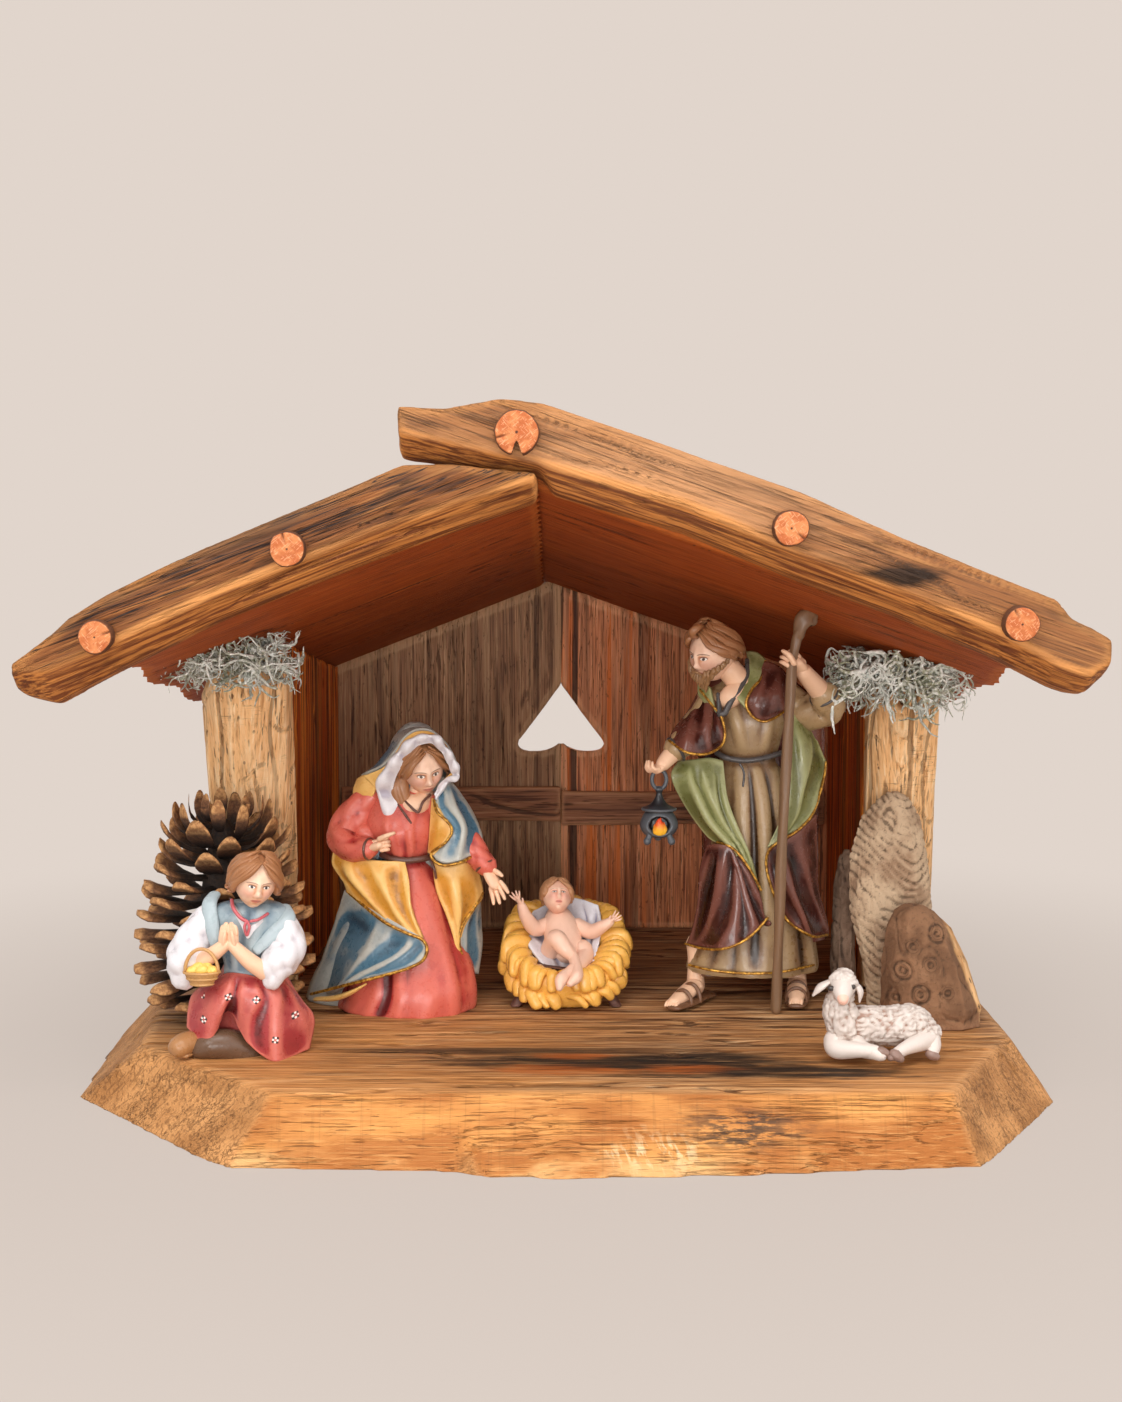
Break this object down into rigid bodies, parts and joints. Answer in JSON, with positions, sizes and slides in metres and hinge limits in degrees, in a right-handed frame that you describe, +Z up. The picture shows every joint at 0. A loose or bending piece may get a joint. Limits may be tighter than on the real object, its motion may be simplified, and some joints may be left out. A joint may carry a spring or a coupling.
{
  "type": "nativity scene",
  "caption": "Open-fronted rustic wooden stable on a bevelled base board, with loose carved and painted figures, a crib, a lamb, a pine cone and bark.",
  "frame": {"origin": "on the table, under the middle of the base board", "axes": "+X to the right seen from the open front, +Y from the open front to the back wall, +Z up"},
  "size_m": [0.292, 0.23, 0.1988],
  "materials": {
    "old_wood": "weathered, brushed reclaimed wood",
    "grey_board": "weathered, matt",
    "red_brown_wood": "stained, rough",
    "dark_wood": "stained, matt",
    "branch_wood": "debarked, cracked, matt",
    "lichen": "dry, tangled strands",
    "end_grain": "sawn",
    "bark": "rough",
    "cone_scales": "dry, matt",
    "straw_paint": "satin paint on carved wood",
    "white_paint": "satin paint on carved wood",
    "skin_paint": "satin paint on carved wood",
    "red_and_blue_paint": "satin paint on carved wood",
    "taupe_and_brown_paint": "satin paint on carved wood",
    "dark_metal_paint": "satin paint on carved wood",
    "rose_and_blue_paint": "satin paint on carved wood",
    "ochre_paint": "satin paint on carved wood",
    "cream_paint": "satin paint on carved wood"
  },
  "bodies": {
    "stable": {"base_board": "old_wood", "back_board_left": "grey_board", "back_board_right": "red_brown_wood", "back_rail_left": "dark_wood", "back_rail_right": "dark_wood", "side_wall_left": "red_brown_wood", "side_wall_right": "red_brown_wood", "pillar_left": "branch_wood", "pillar_right": "branch_wood", "moss_left": "lichen", "moss_right": "lichen", "roof_panel_left": "red_brown_wood", "roof_panel_right": "red_brown_wood", "barge_beam_left": "old_wood", "barge_beam_right": "old_wood", "log_slice_left_eave": "end_grain", "log_slice_left_mid": "end_grain", "log_slice_ridge": "end_grain", "log_slice_right_mid": "end_grain", "log_slice_right_eave": "end_grain", "bark_tall": "bark", "bark_back": "bark", "bark_front": "bark", "pine_cone": "cone_scales"},
    "crib": {"crib": "dark_wood", "crib_straw": "straw_paint", "crib_cloth": "white_paint"},
    "infant": {"infant": "skin_paint"},
    "kneeling": {"kneeling_figure": "red_and_blue_paint"},
    "standing": {"standing_figure": "taupe_and_brown_paint", "staff": "dark_wood"},
    "lantern": {"lantern": "dark_metal_paint"},
    "child": {"child_figure": "rose_and_blue_paint", "fruit_basket": "ochre_paint"},
    "lamb": {"lamb": "cream_paint"}
  },
  "joints": [
    {"name": "crib_lift_out", "type": "slide", "parent": "stable", "child": "crib", "axis": [0.0966, -0.9656, 0.2414], "range_m": [0, 0.11]},
    {"name": "infant_lift_out", "type": "slide", "parent": "crib", "child": "infant", "axis": [0, 0, 1], "range_m": [0, 0.06]},
    {"name": "kneeling_lift_out", "type": "slide", "parent": "stable", "child": "kneeling", "axis": [0.1794, -0.8971, 0.4037], "range_m": [0, 0.17]},
    {"name": "standing_lift_out", "type": "slide", "parent": "stable", "child": "standing", "axis": [-0.1945, -0.9727, 0.1265], "range_m": [0, 0.26]},
    {"name": "lantern_swing", "type": "hinge", "parent": "standing", "child": "lantern", "pos_m": [0.0296, -0.012, 0.0902], "axis": [0, 1, 0], "range_deg": [-10, 10]},
    {"name": "child_lift_out", "type": "slide", "parent": "stable", "child": "child", "axis": [-0.1881, -0.9407, 0.2822], "range_m": [0, 0.1]},
    {"name": "lamb_lift_out", "type": "slide", "parent": "stable", "child": "lamb", "axis": [0.1881, -0.9407, 0.2822], "range_m": [0, 0.09]}
  ]
}
